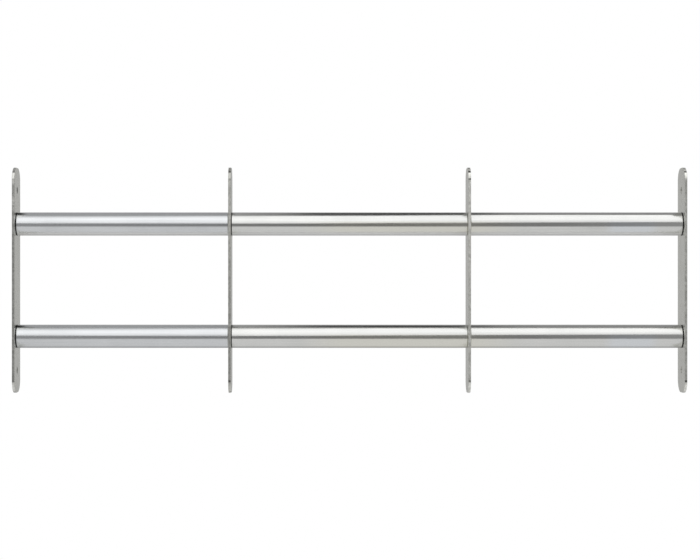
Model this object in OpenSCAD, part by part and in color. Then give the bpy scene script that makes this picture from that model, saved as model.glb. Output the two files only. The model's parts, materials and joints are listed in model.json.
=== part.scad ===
// Two-bar window grille of steel flats and tubes that slide out to the window's width.
// X runs across the window, Y from the room to the window, Z up.
// The origin is the centre of the closed grille. Sizes are in millimetres.

/* [Overall] */
// Width over the end plates with the grille closed
closed_w = 894; // [700:1:1200]
// Distance between the guide plates' centres
guide_pitch = 318; // [240:1:400]
// Distance between the upper and the lower bar
bar_pitch = 150; // [100:1:200]

/* [Plates] */
// Height of the four plates
plate_h = 300; // [250:1:420]
// Width of the plates from room side to window side
plate_w = 45; // [37:0.5:60]
// Thickness of the plates
plate_t = 3.5; // [2:0.25:6]
// Radius of the plates' corners
corner_r = 17; // [5:0.5:18]
// Diameter of the screw holes in the end plates
screw_hole_d = 8.5; // [5:0.5:12]
// Distance from a plate's end to its screw hole's centre
screw_inset = 30; // [14:0.5:36]

/* [Tubes] */
// Outside diameter of the outer tubes and the centre tubes
tube_d = 31; // [30:0.5:36]
// Wall of the outer tubes and the centre tubes
tube_wall = 1.5; // [1:0.25:2]
// Outside diameter of the inner tubes
inner_d = 25; // [18:0.5:25]
// Wall of the inner tubes
inner_wall = 2; // [1:0.25:4]
// Chamfer on the outer edge of every cut tube end
tube_chamfer = 1.0; // [0.2:0.1:1]

/* [Slides] */
// Length of the plastic bush in the mouth of each outer tube
bush_len = 25; // [15:1:40]
// Length of the stop collar on each end of the inner tubes
collar_len = 15; // [8:1:30]
// Lead-in chamfer on the bushes and the collars
lead_in = 0.5; // [0.2:0.1:0.8]

/* [Clearances] */
// Gap between an outer tube's mouth and the guide plate when closed
mouth_gap = 0.4; // [0.3:0.1:2]
// Room between an inner tube's end and the end plate when closed
end_room = 17.0; // [5:0.1:40]
// Radial clearance of an inner tube in its bushes
bush_gap = 0.05; // [0.02:0.01:0.1]
// Radial clearance of a stop collar in the outer tube
collar_gap = 0.4; // [0.3:0.05:0.8]

/* [Hidden] */

$fn = 96;
plate_colour = "#b0afaa";
tube_colour = "#c4c5c2";
inner_colour = "#a3a5a6";
bush_colour = "#2b2c2e";
stop_colour = "#8d8f90";

left = -1;
right = 1;
upper_z = bar_pitch / 2;
lower_z = -bar_pitch / 2;
screw_z = plate_h / 2 - screw_inset;

tube_r = tube_d / 2;
tube_bore_r = tube_r - tube_wall;
inner_r = inner_d / 2;

end_x = (closed_w - plate_t) / 2;       // end plates' centre plane
guide_x = guide_pitch / 2;              // guide plates' centre plane
seat_x = end_x - plate_t / 2;           // end plates' inner face, which carries the outer tubes
mouth_x = guide_x + plate_t / 2 + mouth_gap;
inner_end_x = seat_x - end_room;
// A slide's travel is the stretch of inner tube between its bush and its stop collar.

// Rounded strip in the plane of a plate: width along x, height along y
module plate_outline() {
    square([plate_w, plate_h - 2 * corner_r], center = true);
    square([plate_w - 2 * corner_r, plate_h], center = true);
    for (sx = [-1, 1], sy = [-1, 1])
        translate([sx * (plate_w / 2 - corner_r), sy * (plate_h / 2 - corner_r)])
            circle(r = corner_r);
}

// Plate across the X axis with a round hole at plus and minus hole_z
module plate(x, hole_z, hole_d) {
    translate([x - plate_t / 2, 0, 0])
        rotate([90, 0, 90])
            linear_extrude(height = plate_t)
                difference() {
                    plate_outline();
                    for (z = [-hole_z, hole_z])
                        translate([0, z]) circle(d = hole_d);
                }
}

// Ring or tube along X from x0 to x1 whose outer edges are chamfered
module ring(x0, x1, z, r_out, r_in, chamfer) {
    length = x1 - x0;
    translate([x0, 0, z])
        rotate([0, 90, 0])
            rotate_extrude()
                polygon([
                    [r_in, 0], [r_out - chamfer, 0], [r_out, chamfer],
                    [r_out, length - chamfer], [r_out - chamfer, length], [r_in, length]
                ]);
}

// What is drawn for the right-hand side is turned over for the left-hand side
module on(side) {
    mirror([side == left ? 1 : 0, 0, 0]) children();
}

module end_plate(side) {
    color(plate_colour) on(side) plate(end_x, screw_z, screw_hole_d);
}

// The inner tubes are welded into the guide plates' holes
module guide_plate(side) {
    color(plate_colour) on(side) plate(guide_x, upper_z, inner_d);
}

module outer_tube(side, z) {
    color(tube_colour) on(side) ring(mouth_x, seat_x, z, tube_r, tube_bore_r, tube_chamfer);
}

module centre_tube(z) {
    reach = guide_x - plate_t / 2;
    color(tube_colour) ring(-reach, reach, z, tube_r, tube_bore_r, tube_chamfer);
}

module inner_tube(z) {
    color(inner_colour)
        ring(-inner_end_x, inner_end_x, z, inner_r, inner_r - inner_wall, lead_in);
}

// Pressed into the outer tube, flush with its mouth
module bush(side, z) {
    color(bush_colour) on(side)
        ring(mouth_x, mouth_x + bush_len, z, tube_bore_r, inner_r + bush_gap, lead_in);
}

// Pressed onto the inner tube, flush with its end
module stop_collar(side, z) {
    color(stop_colour) on(side)
        ring(inner_end_x - collar_len, inner_end_x, z, tube_bore_r - collar_gap, inner_r, lead_in);
}

end_plate(left);  // left_end_plate
outer_tube(left, upper_z);  // left_upper_tube
outer_tube(left, lower_z);  // left_lower_tube
bush(left, upper_z);  // left_upper_bush
bush(left, lower_z);  // left_lower_bush

guide_plate(left);  // left_guide_plate
guide_plate(right);  // right_guide_plate
centre_tube(upper_z);  // centre_upper_tube
centre_tube(lower_z);  // centre_lower_tube
inner_tube(upper_z);  // upper_inner_tube
inner_tube(lower_z);  // lower_inner_tube
stop_collar(left, upper_z);  // left_upper_stop
stop_collar(left, lower_z);  // left_lower_stop
stop_collar(right, upper_z);  // right_upper_stop
stop_collar(right, lower_z);  // right_lower_stop

end_plate(right);  // right_end_plate
outer_tube(right, upper_z);  // right_upper_tube
outer_tube(right, lower_z);  // right_lower_tube
bush(right, upper_z);  // right_upper_bush
bush(right, lower_z);  // right_lower_bush
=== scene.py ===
# Two-bar window grille in zinc-plated steel. Its end units slide out to the window's width.
import bpy
import json
import math
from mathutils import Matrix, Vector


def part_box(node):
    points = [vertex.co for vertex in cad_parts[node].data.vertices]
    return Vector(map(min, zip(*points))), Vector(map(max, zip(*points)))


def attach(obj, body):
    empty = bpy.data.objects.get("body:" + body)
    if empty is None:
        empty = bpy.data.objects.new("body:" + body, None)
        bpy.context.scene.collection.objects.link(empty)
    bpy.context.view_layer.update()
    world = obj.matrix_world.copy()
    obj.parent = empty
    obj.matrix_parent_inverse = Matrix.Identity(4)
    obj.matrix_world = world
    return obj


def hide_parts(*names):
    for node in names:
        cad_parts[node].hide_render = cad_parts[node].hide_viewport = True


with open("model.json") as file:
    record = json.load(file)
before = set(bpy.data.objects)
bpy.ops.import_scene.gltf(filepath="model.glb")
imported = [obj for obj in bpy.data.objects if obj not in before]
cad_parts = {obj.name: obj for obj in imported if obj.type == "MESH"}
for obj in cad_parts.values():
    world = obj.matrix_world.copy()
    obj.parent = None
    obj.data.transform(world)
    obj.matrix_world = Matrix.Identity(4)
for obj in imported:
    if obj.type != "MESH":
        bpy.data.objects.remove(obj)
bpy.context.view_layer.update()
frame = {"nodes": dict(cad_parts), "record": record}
record = frame["record"]
print("frame loaded:", len(frame["nodes"]), "nodes")


def hexColour(text):  # sRGB hex to linear
    channels = [int(text[i:i + 2], 16) / 255 for i in (1, 3, 5)]
    linear = [c / 12.92 if c <= 0.04045 else ((c + 0.055) / 1.055) ** 2.4 for c in channels]
    return (*linear, 1.0)


def addNode(tree, kind, inputs=None, **settings):  # a node with its settings, values and links
    # a Mix node's sockets go by number: 0 is how much, 2 and 3 mix values, 6 and 7 mix colours
    node = tree.nodes.new(kind)
    for name, value in settings.items():
        setattr(node, name, value)
    for key, value in (inputs or {}).items():
        if isinstance(value, bpy.types.NodeSocket):
            tree.links.new(value, node.inputs[key])
        else:
            node.inputs[key].default_value = value
    return node


# the camera is level with the middle of the grille, a little left of its centre; lens and
# film width in mm, the rest in metres
cameraPlace = {"side": -0.043, "back": 2.32, "height": 0.0002, "lens": 89.3, "film": 36,
               "shift": 0.047}


def placeCamera(place):
    data = bpy.data.cameras.new("camera")
    data.lens = place["lens"]
    data.sensor_width = place["film"]
    data.shift_x = place["shift"]
    camera = bpy.data.objects.new("camera", data)
    camera.location = (place["side"], -place["back"], place["height"])
    camera.rotation_euler = (math.radians(90), 0, 0)
    bpy.context.collection.objects.link(camera)
    bpy.context.scene.camera = camera


placeCamera(cameraPlace)


# The studio is a softbox in front and above, a pale floor, a lit wall behind, dim paper in
# front and a dark room around. The bars mirror all of it, so its edges draw their dark lines.
softbox = {
    "radius": 3.0, "rows": 48, "glow": 1.36, "lowGlow": 1.0, "edgeGlow": 0.42,
    "riseShare": 0.35,  # how much of the sheet the glow takes to rise from lowGlow
    # along X: place, elevation of the lower and the upper edge, and how far the upper edge fades
    "stations": [(-2.6, 8.3, 92, 37), (-0.95, 7.3, 92, 36), (-0.62, 6.2, 90.5, 34),
                 (-0.38, 4.8, 93.5, 26), (-0.15, 3.7, 92, 14), (0.15, 9.7, 88.5, 4),
                 (0.4, 13.2, 99, 3), (0.57, 16, 101, 3), (0.95, 19, 101, 4), (2.6, 26, 110, 4)],
}
floorSpace = {"drop": 0.9, "front": -1.95, "back": 9.0, "side": 7.0, "glow": 0.77,
              "dimFrom": 0.25, "dimTo": 0.75, "dimSteps": 6, "dimGlow": 0.42}
wallSpace = {"back": 7.0, "side": 9.0, "bottom": -0.9, "top": 5.2, "glow": 0.5}
darkFront = {
    "front": -5.5, "bottom": -2.6, "top": 1.2,
    # along X: place and glow
    "stations": [(-5, 0.36), (-1.42, 0.35), (-0.93, 0.3), (-0.57, 0.265), (-0.2, 0.225),
                 (0.25, 0.21), (0.86, 0.22), (1.3, 0.26), (1.6, 0.37), (5, 0.37)],
}
# two bent sheets behind the softbox: a black flag over the middle, a pale one over the left
bentSheets = {
    "flag": {"left": -0.1, "right": 0.5, "low": 88, "high": 140, "radius": 3.2, "rows": 8,
             "glow": 0.075},
    "lift": {"left": -2.6, "right": -0.25, "low": 92, "high": 150, "radius": 3.15, "rows": 8,
             "glow": 0.45},
}
roomGlow = 0.33  # what the bars mirror where no sheet hangs


def glowMaterial(name, cameraWhite):
    material = bpy.data.materials.new(name)
    material.use_nodes = True
    tree = material.node_tree
    tree.nodes.clear()
    level = addNode(tree, "ShaderNodeAttribute", attribute_name="glow")
    glow = addNode(tree, "ShaderNodeEmission", {"Strength": level.outputs["Fac"]})
    if cameraWhite:  # white from above, clear from below, and its own glow in reflections
        path = addNode(tree, "ShaderNodeLightPath")
        white = addNode(tree, "ShaderNodeEmission", {"Strength": 1.0})
        side = addNode(tree, "ShaderNodeNewGeometry")
        clear = addNode(tree, "ShaderNodeBsdfTransparent")
        seen = addNode(tree, "ShaderNodeMixShader",
                       {0: path.outputs["Is Camera Ray"], 1: glow.outputs[0],
                        2: white.outputs[0]})
        glow = addNode(tree, "ShaderNodeMixShader",
                       {0: side.outputs["Backfacing"], 1: seen.outputs[0], 2: clear.outputs[0]})
    addNode(tree, "ShaderNodeOutputMaterial", {"Surface": glow.outputs[0]})
    return material


def hangSheet(name, columns, rows, place, glow, cameraSees=False):
    # a glowing sheet: place(column, row) gives each point, glow(column, row) how bright it is
    grid = [(column, row) for column in columns for row in rows]
    high = len(rows)
    faces = [(i * high + j, i * high + j + 1, (i + 1) * high + j + 1, (i + 1) * high + j)
             for i in range(len(columns) - 1) for j in range(high - 1)]
    mesh = bpy.data.meshes.new(name)
    mesh.from_pydata([place(*spot) for spot in grid], [], faces)
    level = mesh.attributes.new("glow", "FLOAT", "POINT")
    level.data.foreach_set("value", [glow(*spot) for spot in grid])
    mesh.materials.append(glowMaterial(name + "_glow", cameraSees))
    sheet = bpy.data.objects.new(name, mesh)
    bpy.context.collection.objects.link(sheet)
    sheet.visible_camera = cameraSees


def spread(start, end, steps):
    return [start + (end - start) * i / steps for i in range(steps + 1)]


def ramp(value, start, end):
    return min(1.0, max(0.0, (value - start) / (end - start)))


def bend(x, radius, angle):  # a point on a sheet bent round the bars
    return (x, -radius * math.cos(angle), radius * math.sin(angle))


def hangSoftbox(box):
    edges = {station[0]: station[1:] for station in box["stations"]}

    def place(x, share):
        low, high, _ = edges[x]
        return bend(x, box["radius"], math.radians(low + (high - low) * share))

    def glow(x, share):
        low, high, fadeAngle = edges[x]
        rise = ramp(share, 0, box["riseShare"])
        fall = ramp((1 - share) * (high - low), 0, fadeAngle)
        level = box["lowGlow"] + (box["glow"] - box["lowGlow"]) * rise
        return box["edgeGlow"] + (level - box["edgeGlow"]) * fall

    hangSheet("softbox", list(edges), spread(0, 1, box["rows"]), place, glow)


def layFloor(space):
    def glow(x, y):  # dimmer behind the grille
        dim = ramp(y, space["dimFrom"], space["dimTo"])
        return space["glow"] + (space["dimGlow"] - space["glow"]) * dim

    depths = spread(space["dimFrom"], space["dimTo"], space["dimSteps"])
    hangSheet("floor", [space["side"], -space["side"]], [space["front"], *depths, space["back"]],
              lambda x, y: (x, y, -space["drop"]), glow, cameraSees=True)


def hangWall(space):
    hangSheet("backWall", [-space["side"], space["side"]], [space["bottom"], space["top"]],
              lambda x, z: (x, space["back"], z), lambda x, z: space["glow"])


def hangDarkFront(paper):
    shade = dict(paper["stations"])
    hangSheet("darkFront", list(shade), [paper["bottom"], paper["top"]],
              lambda x, z: (x, paper["front"], z), lambda x, z: shade[x])


def hangBent(name, sheet):
    angles = [math.radians(a) for a in spread(sheet["low"], sheet["high"], sheet["rows"])]
    hangSheet(name, [sheet["left"], sheet["right"]], angles,
              lambda x, angle: bend(x, sheet["radius"], angle), lambda x, angle: sheet["glow"])


def lightRoom(strength):  # white to the camera, dark in the bars' reflections
    world = bpy.data.worlds.new("room")
    bpy.context.scene.world = world
    world.use_nodes = True
    tree = world.node_tree
    tree.nodes.clear()
    path = addNode(tree, "ShaderNodeLightPath")
    dark, white = [addNode(tree, "ShaderNodeBackground",
                           {"Color": hexColour("#ffffff"), "Strength": level})
                   for level in (strength, 1.0)]
    mix = addNode(tree, "ShaderNodeMixShader",
                  {0: path.outputs["Is Camera Ray"], 1: dark.outputs[0], 2: white.outputs[0]})
    addNode(tree, "ShaderNodeOutputWorld", {"Surface": mix.outputs[0]})


hangSoftbox(softbox)
layFloor(floorSpace)
hangWall(wallSpace)
hangDarkFront(darkFront)
for sheetName, sheetForm in bentSheets.items():
    hangBent(sheetName, sheetForm)
lightRoom(roomGlow)
bpy.context.scene.view_settings.view_transform = "Standard"  # hex colours stay as they are
print("studio built")


# Grain: the lines left by drawing are far under a tenth of a millimetre wide, too fine to
# show, so they are drawn grainMm wide, and stretch times as long. Clouds are at real size.
platedTube = {"base": "#dcdcda", "cloud": "#d2d3d1", "roughness": 0.17, "spread": 0.05,
              "grainMm": 1.6, "stretch": 90, "cloudMm": 60, "bump": 0.02, "bumpMm": 0.5}
lineNoise = {"Scale": 1.0, "Detail": 3.0, "Roughness": 0.6}
cloudNoise = {"Detail": 4.0, "Roughness": 0.55}
toneRange = {"From Min": 0.7, "From Max": 1.3}  # of lines and clouds added up


def zincFinish(name, look, along, marks=()):
    # Electroplated zinc on drawn or rolled steel: a bright satin mirror with fine lines along
    # the rolling direction and a faint clouding from the passivation bath. Each mark gives
    # where it lies, from 0 to 1, and the colour and roughness there, or None where it leaves
    # one alone.
    material = bpy.data.materials.new(name)
    material.use_nodes = True
    tree = material.node_tree
    shader = tree.nodes["Principled BSDF"]
    shader.inputs["Metallic"].default_value = 1.0
    place = addNode(tree, "ShaderNodeTexCoord")
    fine = 1000 / look["grainMm"]
    scale = [fine, fine, fine]
    scale["XYZ".index(along)] = fine / look["stretch"]
    lineSpace = addNode(tree, "ShaderNodeMapping",
                        {"Vector": place.outputs["Object"], "Scale": scale})
    lines = addNode(tree, "ShaderNodeTexNoise", {"Vector": lineSpace.outputs[0], **lineNoise})
    clouds = addNode(tree, "ShaderNodeTexNoise",
                     {"Vector": place.outputs["Object"], "Scale": 1000 / look["cloudMm"],
                      **cloudNoise})
    tone = addNode(tree, "ShaderNodeMath", {0: lines.outputs[0], 1: clouds.outputs[0]},
                   operation="ADD")
    shade = addNode(tree, "ShaderNodeMapRange", {"Value": tone.outputs[0], **toneRange})
    colour = addNode(tree, "ShaderNodeMix",
                     {0: shade.outputs[0], 6: hexColour(look["cloud"]),
                      7: hexColour(look["base"])}, data_type="RGBA").outputs[2]
    polish = addNode(tree, "ShaderNodeMapRange",
                     {"Value": tone.outputs[0], **toneRange,
                      "To Min": look["roughness"] + look["spread"],
                      "To Max": look["roughness"] - look["spread"]}).outputs[0]
    bump = addNode(tree, "ShaderNodeBump",
                   {"Height": lines.outputs[0], "Strength": look["bump"],
                    "Distance": look["bumpMm"] / 1000})
    for mark in marks:
        where, stain, grip = mark(tree, place)
        if stain is not None:
            colour = addNode(tree, "ShaderNodeMix", {0: where, 6: colour, 7: stain},
                             data_type="RGBA").outputs[2]
        if grip is not None:
            polish = addNode(tree, "ShaderNodeMix", {0: where, 2: polish, 3: grip}).outputs[0]
    tree.links.new(colour, shader.inputs["Base Color"])
    tree.links.new(polish, shader.inputs["Roughness"])
    tree.links.new(bump.outputs[0], shader.inputs["Normal"])
    return material


def fade(tree, value, near, far, most=1.0):  # most up to near, 0 from far on
    return addNode(tree, "ShaderNodeMapRange",
                   {"Value": value, "From Min": near, "From Max": far,
                    "To Min": most, "To Max": 0.0},
                   interpolation_type="SMOOTHSTEP").outputs[0]


def together(tree, first, second):  # where both are
    return addNode(tree, "ShaderNodeMath", {0: first, 1: second},
                   operation="MULTIPLY").outputs[0]


def spotOn(tree, place, axis):  # where on the grille, in metres
    return addNode(tree, "ShaderNodeSeparateXYZ", {0: place.outputs["Object"]}).outputs[axis]


def facing(tree, axis):  # how far the surface turns to an axis, from -1 to 1
    geometry = addNode(tree, "ShaderNodeNewGeometry")
    return addNode(tree, "ShaderNodeSeparateXYZ", {0: geometry.outputs["Normal"]}).outputs[axis]


def distanceFrom(tree, value, middle):
    offset = addNode(tree, "ShaderNodeMath", {0: value, 1: middle}, operation="SUBTRACT")
    return addNode(tree, "ShaderNodeMath", {0: offset.outputs[0]},
                   operation="ABSOLUTE").outputs[0]


# painted shade in the crevices, as dark, dull zinc where the plating is also thin: at a tube's
# end beside a plate, and in the bores
crevice = {"colour": "#141310", "near": 0.0006, "far": 0.0016, "roughness": 0.6}


def paintedJointShade(tree, place):  # painted shade: the dark line where a tube's end butts against a plate
    ends = [addNode(tree, "ShaderNodeAttribute", attribute_name=name).outputs["Fac"]
            for name in ("fromStart", "fromEnd")]
    nearest = addNode(tree, "ShaderNodeMath", {0: ends[0], 1: ends[1]}, operation="MINIMUM")
    return (fade(tree, nearest.outputs[0], crevice["near"], crevice["far"]),
            hexColour(crevice["colour"]), crevice["roughness"])


# the upper bars are matt below, and painted paler there as a painted reflection of the floor:
# all of it where the surface turns down past under, none past side, and only above the grille's
# middle
underLight = {"colour": "#eeeeed", "roughness": 0.42, "under": -0.85, "side": -0.6, "blend": 0.01}


def dullLitUnderside(tree, place):
    where = together(tree, fade(tree, facing(tree, "Z"), underLight["under"], underLight["side"]),
                     fade(tree, spotOn(tree, place, "Z"), underLight["blend"], -underLight["blend"]))
    return where, hexColour(underLight["colour"]), underLight["roughness"]


# painted dark reflection of the welded end plates, in a strip high on the tubes beside them:
# slope is how far it faces up, and near and reach are metres from the plate
plateReflection = {"colour": "#3a3a3c", "roughness": 0.3, "seat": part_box("right_end_plate")[0].x,
        "near": 0.002, "reach": 0.017, "most": 0.97, "slope": 0.86, "width": 0.05}


def paintedPlateReflection(tree, place):
    out = addNode(tree, "ShaderNodeMath", {0: spotOn(tree, place, "X")}, operation="ABSOLUTE")
    gap = addNode(tree, "ShaderNodeMath", {0: plateReflection["seat"], 1: out.outputs[0]},
                  operation="SUBTRACT")
    away = distanceFrom(tree, facing(tree, "Z"), plateReflection["slope"])
    where = together(tree, fade(tree, gap.outputs[0], plateReflection["near"], plateReflection["reach"], plateReflection["most"]),
                     fade(tree, away, plateReflection["width"], plateReflection["width"] * 2))
    return where, hexColour(plateReflection["colour"]), plateReflection["roughness"]


# faint yellow and blue that the bath left on the undersides: middle and half length along X
tints = [{"middle": 0.08, "half": 0.16, "colour": "#dddcd4"},
         {"middle": 0.375, "half": 0.04, "colour": "#d9dcdf"}]
tintTop = 0.3  # none where the surface faces up more than this


def bathTint(tint):
    def mark(tree, place):
        away = distanceFrom(tree, spotOn(tree, place, "X"), tint["middle"])
        where = together(tree, fade(tree, away, tint["half"] / 2, tint["half"]),
                         fade(tree, facing(tree, "Z"), 0.0, tintTop))
        return where, hexColour(tint["colour"]), None
    return mark


tubeFinish = zincFinish("zinc_drawn_tube", platedTube, "X",
                        [bathTint(tint) for tint in tints] + [dullLitUnderside, paintedJointShade])
blueTube = dict(platedTube, base="#d9dbdd", cloud="#cfd1d3", roughness=0.2)
leftTubeFinish = zincFinish("zinc_drawn_tube_blue", blueTube, "X",
                            [dullLitUnderside, paintedPlateReflection, paintedJointShade])
innerTube = dict(platedTube, base="#c9cac9", cloud="#b4b5b5", roughness=0.26)
innerFinish = zincFinish("zinc_inner_tube", innerTube, "X")
stopCollar = dict(platedTube, base="#b9babb", cloud="#a9aaab", roughness=0.3)
stopFinish = zincFinish("zinc_stop_collar", stopCollar, "X")

# rolled flat bar: duller than the tubes, with short lines and small clouds
flatBar = dict(platedTube, base="#e2e2dc", cloud="#d8d8d1", roughness=0.26, grainMm=1.8,
               stretch=6, cloudMm=9)
edgeTurn = {"flat": 0.8, "cut": 0.35}  # how far a flat face and a cut edge turn to X
edgePatch = {"From Min": 0.35, "From Max": 0.65}
# painted dark reflections on the cut edges where they round into the ends: height, half width;
# the last is a long band of painted shade below
edgeShadeSpots = [(0.1338, 0.0011), (-0.1338, 0.0016), (0.1438, 0.0018), (0.119, 0.0125)]
edgeSpotLook = {"colour": "#30302d", "roughness": 0.45, "core": 0.4, "rim": 1.2}
boreRim = {"near": 0.0001, "far": 0.0006}  # metres outside a bore


def onEdges(tree):  # 1 on the cut edges, 0 on the flat faces
    steep = addNode(tree, "ShaderNodeMath", {0: facing(tree, "X")}, operation="ABSOLUTE")
    return fade(tree, steep.outputs[0], edgeTurn["cut"], edgeTurn["flat"])


def cutEdges(look):
    def mark(tree, place):
        patches = addNode(tree, "ShaderNodeTexNoise",
                          {"Vector": place.outputs["Object"], "Scale": 1000 / look["patchMm"],
                           "Detail": 2.0})
        patch = addNode(tree, "ShaderNodeMapRange", {"Value": patches.outputs[0], **edgePatch})
        colour = addNode(tree, "ShaderNodeMix",
                         {0: patch.outputs[0], 6: hexColour(look["dark"]),
                          7: hexColour(look["light"])}, data_type="RGBA")
        return onEdges(tree), colour.outputs[2], look["roughness"]
    return mark


def paintedEdgeShade(strengths):
    def mark(tree, place):
        height = spotOn(tree, place, "Z")
        total = 0.0
        for (level, reach), strength in zip(edgeShadeSpots, strengths):
            core, rim = reach * edgeSpotLook["core"], reach * edgeSpotLook["rim"]
            shadeSpot = fade(tree, distanceFrom(tree, height, level), core, rim, strength)
            total = addNode(tree, "ShaderNodeMath", {0: shadeSpot, 1: total},
                            operation="ADD").outputs[0]
        return (together(tree, total, onEdges(tree)), hexColour(edgeSpotLook["colour"]),
                edgeSpotLook["roughness"])
    return mark


def darkHoles(hole):  # painted shade in the bores, where the plating is also thin
    def mark(tree, place):
        height = addNode(tree, "ShaderNodeMath", {0: spotOn(tree, place, "Z")},
                         operation="ABSOLUTE")
        drop = addNode(tree, "ShaderNodeMath", {0: height.outputs[0], 1: hole["spacing"] / 2},
                       operation="SUBTRACT")
        across = addNode(tree, "ShaderNodeCombineXYZ",
                         {"X": spotOn(tree, place, "Y"), "Y": drop.outputs[0]})
        reach = addNode(tree, "ShaderNodeVectorMath", {0: across.outputs[0]}, operation="LENGTH")
        return (fade(tree, reach.outputs["Value"], hole["radius"] + boreRim["near"],
                     hole["radius"] + boreRim["far"], hole["darkness"]),
                hexColour(crevice["colour"]), crevice["roughness"])
    return mark


# the moulded grain is drawn coarser than it is, so that it shows
acetal = {"dark": "#1b1c1e", "light": "#242527", "roughness": 0.45, "ior": 1.48,
          "grainMm": 10 / 9, "detail": 2.0, "bump": 0.1, "bumpMm": 0.2}


def acetalFinish(look):
    # Black acetal, injection moulded: an even matt black with a soft sheen.
    material = bpy.data.materials.new("acetal_black")
    material.use_nodes = True
    tree = material.node_tree
    shader = tree.nodes["Principled BSDF"]
    shader.inputs["IOR"].default_value = look["ior"]
    shader.inputs["Roughness"].default_value = look["roughness"]
    place = addNode(tree, "ShaderNodeTexCoord")
    grain = addNode(tree, "ShaderNodeTexNoise",
                    {"Vector": place.outputs["Object"], "Scale": 1000 / look["grainMm"],
                     "Detail": look["detail"]})
    colour = addNode(tree, "ShaderNodeMix",
                     {0: grain.outputs[0], 6: hexColour(look["dark"]),
                      7: hexColour(look["light"])}, data_type="RGBA")
    bump = addNode(tree, "ShaderNodeBump",
                   {"Height": grain.outputs[0], "Strength": look["bump"],
                    "Distance": look["bumpMm"] / 1000})
    tree.links.new(colour.outputs[2], shader.inputs["Base Color"])
    tree.links.new(bump.outputs[0], shader.inputs["Normal"])
    return material


bushFinish = acetalFinish(acetal)
print("finishes mixed")


# how finely round shapes are divided, and how near points are before they merge, in metres
fineness = {"corner": 14, "hole": 48, "edge": 5, "round": 144, "merge": 1e-6}


def newTree(name, sizes):
    tree = bpy.data.node_groups.new(name, "GeometryNodeTree")
    for size in sizes:
        tree.interface.new_socket(size, in_out="INPUT", socket_type="NodeSocketFloat")
    tree.interface.new_socket("Finish", in_out="INPUT", socket_type="NodeSocketMaterial")
    tree.interface.new_socket("Geometry", in_out="OUTPUT", socket_type="NodeSocketGeometry")
    return tree, addNode(tree, "NodeGroupInput")


def closeTree(tree, given, shape):
    solid = addNode(tree, "GeometryNodeRealizeInstances", {"Geometry": shape})
    smooth = addNode(tree, "GeometryNodeSetShadeSmooth", {"Geometry": solid.outputs[0]})
    coated = addNode(tree, "GeometryNodeSetMaterial",
                     {"Geometry": smooth.outputs[0], "Material": given.outputs["Finish"]})
    addNode(tree, "NodeGroupOutput", {"Geometry": coated.outputs[0]})


def makePlateTree():  # flat bar with rounded ends and two round holes, thickness along X
    sizes = ["Width", "Height", "Thickness", "Corner Radius", "Hole Radius", "Hole Spacing",
             "Start"]
    tree, given = newTree("flat_bar", sizes)
    size = given.outputs
    strip = addNode(tree, "GeometryNodeCurvePrimitiveQuadrilateral",
                    {"Width": size["Width"], "Height": size["Height"]})
    outline = addNode(tree, "GeometryNodeFilletCurve",
                      {"Curve": strip.outputs[0], "Radius": size["Corner Radius"],
                       "Count": fineness["corner"]}, mode="POLY")
    hole = addNode(tree, "GeometryNodeCurvePrimitiveCircle",
                   {"Resolution": fineness["hole"], "Radius": size["Hole Radius"]})
    joined = [outline.outputs[0]]
    for share in (-0.5, 0.5):
        holeHeight = addNode(tree, "ShaderNodeMath", {0: size["Hole Spacing"], 1: share},
                             operation="MULTIPLY")
        spot = addNode(tree, "ShaderNodeCombineXYZ", {"Y": holeHeight.outputs[0]})
        joined.append(addNode(tree, "GeometryNodeTransform",
                              {"Geometry": hole.outputs[0],
                               "Translation": spot.outputs[0]}).outputs[0])
    curves = addNode(tree, "GeometryNodeJoinGeometry")
    for curve in joined:
        tree.links.new(curve, curves.inputs[0])
    face = addNode(tree, "GeometryNodeFillCurve", {"Curve": curves.outputs[0]}, mode="NGONS")
    depth = addNode(tree, "GeometryNodeExtrudeMesh",
                    {"Mesh": face.outputs[0], "Offset Scale": size["Thickness"],
                     "Individual": False})
    back = addNode(tree, "GeometryNodeFlipFaces", {"Mesh": face.outputs[0]})
    shell = addNode(tree, "GeometryNodeJoinGeometry")
    for part in (depth.outputs[0], back.outputs[0]):
        tree.links.new(part, shell.inputs[0])
    sealed = addNode(tree, "GeometryNodeMergeByDistance",
                     {"Geometry": shell.outputs[0], "Distance": fineness["merge"]})
    start = addNode(tree, "ShaderNodeCombineXYZ", {"X": size["Start"]})
    upright = addNode(tree, "GeometryNodeTransform",
                      {"Geometry": sealed.outputs[0], "Translation": start.outputs[0],
                       "Rotation": (math.radians(90), 0, math.radians(90))})
    closeTree(tree, given, upright.outputs[0])
    return tree


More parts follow.
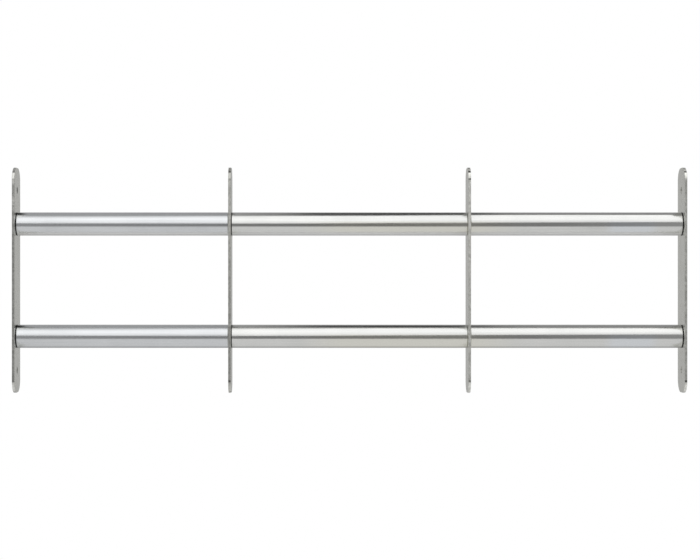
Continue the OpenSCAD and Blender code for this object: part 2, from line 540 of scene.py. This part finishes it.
def makeRingTree():  # tube or ring along X with rounded edges
    sizes = ["Outer Radius", "Inner Radius", "Length", "Outer Edge", "Inner Edge", "Start",
             "Height", "Shade Hold Start", "Shade Hold End"]
    tree, given = newTree("round_tube", sizes)
    size = given.outputs
    wall = addNode(tree, "ShaderNodeMath",
                   {0: size["Outer Radius"], 1: size["Inner Radius"]}, operation="SUBTRACT")
    total = addNode(tree, "ShaderNodeMath",
                    {0: size["Outer Radius"], 1: size["Inner Radius"]}, operation="ADD")
    middle = addNode(tree, "ShaderNodeMath", {0: total.outputs[0], 1: 0.5}, operation="MULTIPLY")
    section = addNode(tree, "GeometryNodeCurvePrimitiveQuadrilateral",
                      {"Width": wall.outputs[0], "Height": size["Length"]})
    corner = addNode(tree, "ShaderNodeSeparateXYZ",
                     {0: addNode(tree, "GeometryNodeInputPosition").outputs[0]})
    outside = addNode(tree, "FunctionNodeCompare", {0: corner.outputs["X"], 1: 0.0},
                      data_type="FLOAT", operation="GREATER_THAN")
    edge = addNode(tree, "GeometryNodeSwitch",
                   {"Switch": outside.outputs[0], "False": size["Inner Edge"],
                    "True": size["Outer Edge"]}, input_type="FLOAT")
    rounded = addNode(tree, "GeometryNodeFilletCurve",
                      {"Curve": section.outputs[0], "Radius": edge.outputs[0],
                       "Count": fineness["edge"], "Limit Radius": True}, mode="POLY")
    path = addNode(tree, "GeometryNodeCurvePrimitiveCircle",
                   {"Resolution": fineness["round"], "Radius": middle.outputs[0]})
    tube = addNode(tree, "GeometryNodeCurveToMesh",
                   {"Curve": path.outputs[0], "Profile Curve": rounded.outputs[0]})
    half = addNode(tree, "ShaderNodeMath", {0: size["Length"], 1: 0.5}, operation="MULTIPLY")
    centre = addNode(tree, "ShaderNodeMath", {0: size["Start"], 1: half.outputs[0]},
                     operation="ADD")
    spot = addNode(tree, "ShaderNodeCombineXYZ", {"X": centre.outputs[0], "Z": size["Height"]})
    laid = addNode(tree, "GeometryNodeTransform",
                   {"Geometry": tube.outputs[0], "Translation": spot.outputs[0],
                    "Rotation": (0, math.radians(90), 0)})
    # how far each point is from both ends, for the painted shade line beside the plates
    spotX = addNode(tree, "ShaderNodeSeparateXYZ",
                    {0: addNode(tree, "GeometryNodeInputPosition").outputs[0]})
    fromStart = addNode(tree, "ShaderNodeMath", {0: spotX.outputs["X"], 1: size["Start"]},
                        operation="SUBTRACT")
    fromEnd = addNode(tree, "ShaderNodeMath", {0: size["Length"], 1: fromStart.outputs[0]},
                      operation="SUBTRACT")
    marked = laid
    for label, gone, shadeHold in (("fromStart", fromStart, "Shade Hold Start"),
                               ("fromEnd", fromEnd, "Shade Hold End")):
        far = addNode(tree, "ShaderNodeMath", {0: gone.outputs[0], 1: size[shadeHold]},
                      operation="ADD")
        marked = addNode(tree, "GeometryNodeStoreNamedAttribute",
                         {"Geometry": marked.outputs[0], "Name": label,
                          "Value": far.outputs[0]}, data_type="FLOAT", domain="POINT")
    closeTree(tree, given, marked.outputs[0])
    return tree


plateTree = makePlateTree()
ringTree = makeRingTree()


def growPiece(name, tree, sizes, finish):  # runs a tree and keeps its result as a mesh
    holder = bpy.data.objects.new(name + "_holder", bpy.data.meshes.new(name + "_holder"))
    bpy.context.collection.objects.link(holder)
    grower = holder.modifiers.new("grow", "NODES")
    grower.node_group = tree
    values = dict(sizes, Finish=finish)
    for item in tree.interface.items_tree:
        if item.in_out == "INPUT":
            grower[item.identifier] = values[item.name]
    view = bpy.context.evaluated_depsgraph_get()
    mesh = bpy.data.meshes.new_from_object(holder.evaluated_get(view), depsgraph=view)
    mesh.name = name
    bpy.data.objects.remove(holder)
    piece = bpy.data.objects.new(name, mesh)
    bpy.context.collection.objects.link(piece)
    return piece


bodyOfNode = {node: body for body, nodes in record["behaviour"]["bodies"].items()
              for node in nodes}


def standIn(piece, node):
    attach(piece, bodyOfNode[node])
    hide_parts(node)


# the four plates: their edges are broken by half a millimetre
plateForm = {"cornerRadius": 0.017, "edgeRadius": 0.0005, "edgeSteps": 3, "edgeAngle": 50}


def makePlate(node, form, hole, finish):
    low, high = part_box(node)
    size = high - low
    plate = growPiece(node.replace("_plate", "_flat"), plateTree,
                      {"Width": size.y, "Height": size.z, "Thickness": size.x,
                       "Corner Radius": form["cornerRadius"], "Hole Radius": hole["radius"],
                       "Hole Spacing": hole["spacing"], "Start": low.x}, finish)
    bevel = plate.modifiers.new("edges", "BEVEL")
    bevel.width = form["edgeRadius"]
    bevel.segments = form["edgeSteps"]
    bevel.limit_method = "ANGLE"
    bevel.angle_limit = math.radians(form["edgeAngle"])
    bevel.harden_normals = True
    standIn(plate, node)


screwHoles = record["mounts"][0]["dims"]
upperLow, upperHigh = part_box("upper_inner_tube")
lowerLow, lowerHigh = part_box("lower_inner_tube")
innerRadius = (upperHigh.z - upperLow.z) / 2
holes = {
    "end": {"radius": screwHoles["hole_r_mm"] / 1000,
            "spacing": screwHoles["spacing_y_mm"] / 1000, "darkness": 0.15},
    "guide": {"radius": innerRadius,
              "spacing": (upperLow.z + upperHigh.z - lowerLow.z - lowerHigh.z) / 2,
              "darkness": 0.33},
}
# each plate's cut edges: colours, roughness, and how strong each painted dark spot is; the left
# plates' edges are painted darker than the right ones, as painted shade
brightEdge = {"light": "#f0f0ea", "dark": "#cdcdc7", "patchMm": 3.5, "roughness": 0.4,
              "edgeShadeSpots": (0.9, 0.55, 0.95, 0.0)}
edgeLook = {
    "left_end": dict(brightEdge, light="#dededa", dark="#bbbbb6", roughness=0.1,
                     edgeShadeSpots=(0.3, 0.5, 0.6, 0.5)),
    "left_guide": dict(brightEdge, light="#cfcfc9", dark="#afafa9", roughness=0.34,
                       edgeShadeSpots=(0.1, 0.75, 0.8, 0.12)),
    "right_guide": brightEdge,
    "right_end": dict(brightEdge, roughness=0.3, edgeShadeSpots=(0.15, 0.9, 0.85, 0.15)),
}

for kind, hole in holes.items():
    for side in ("left", "right"):
        edge = edgeLook[f"{side}_{kind}"]
        plateFinish = zincFinish(f"zinc_{side}_{kind}_flat", flatBar, "Z",
                                 [cutEdges(edge), paintedEdgeShade(edge["edgeShadeSpots"]), darkHoles(hole)])
        makePlate(f"{side}_{kind}_plate", plateForm, hole, plateFinish)
print("plates made")


# tubes, bushes and stop collars: wall thickness, rounding of the edges, and the bushes' play
tubeForm = {"wall": 0.0015, "outerEdge": 0.001, "innerEdge": 0.0002}
innerForm = {"wall": 0.002, "outerEdge": 0.0005, "innerEdge": 0.0003}
bushForm = {"play": 0.00005, "outerEdge": 0.0005, "innerEdge": 0.0004}
stopForm = {"play": 0.0, "outerEdge": 0.0005, "innerEdge": 0.0003}
# metres added to the distance from an end, which thin the painted shade line there or leave it
# out
shadeHoldBack = {"mouth": 0.0016, "plate": 0.0, "leftGuide": 0.0001, "rightGuide": 0.0011}
faceWeight = 100  # the large faces decide the shading at the rounded edges


def makeRing(node, suffix, form, finish, shadeHoldStart=0.0, shadeHoldEnd=0.0):
    low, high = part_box(node)
    outer = (high.z - low.z) / 2
    inner = outer - form["wall"] if "wall" in form else innerRadius + form["play"]
    ring = growPiece(node + suffix, ringTree,
                     {"Outer Radius": outer, "Inner Radius": inner, "Length": high.x - low.x,
                      "Outer Edge": form["outerEdge"], "Inner Edge": form["innerEdge"],
                      "Start": low.x, "Height": (high.z + low.z) / 2,
                      "Shade Hold Start": shadeHoldStart, "Shade Hold End": shadeHoldEnd}, finish)
    weighted = ring.modifiers.new("normals", "WEIGHTED_NORMAL")
    weighted.weight = faceWeight
    standIn(ring, node)


for level in ("upper", "lower"):
    makeRing(f"left_{level}_tube", "_round", tubeForm, leftTubeFinish,
             shadeHoldBack["plate"], shadeHoldBack["mouth"])
    makeRing(f"centre_{level}_tube", "_round", tubeForm, tubeFinish,
             shadeHoldBack["leftGuide"], shadeHoldBack["rightGuide"])
    makeRing(f"right_{level}_tube", "_round", tubeForm, tubeFinish,
             shadeHoldBack["mouth"], shadeHoldBack["plate"])
    makeRing(f"{level}_inner_tube", "_round", innerForm, innerFinish)
    for side in ("left", "right"):
        makeRing(f"{side}_{level}_bush", "_ring", bushForm, bushFinish)
        makeRing(f"{side}_{level}_stop", "_ring", stopForm, stopFinish)
print("tubes, bushes and collars made")
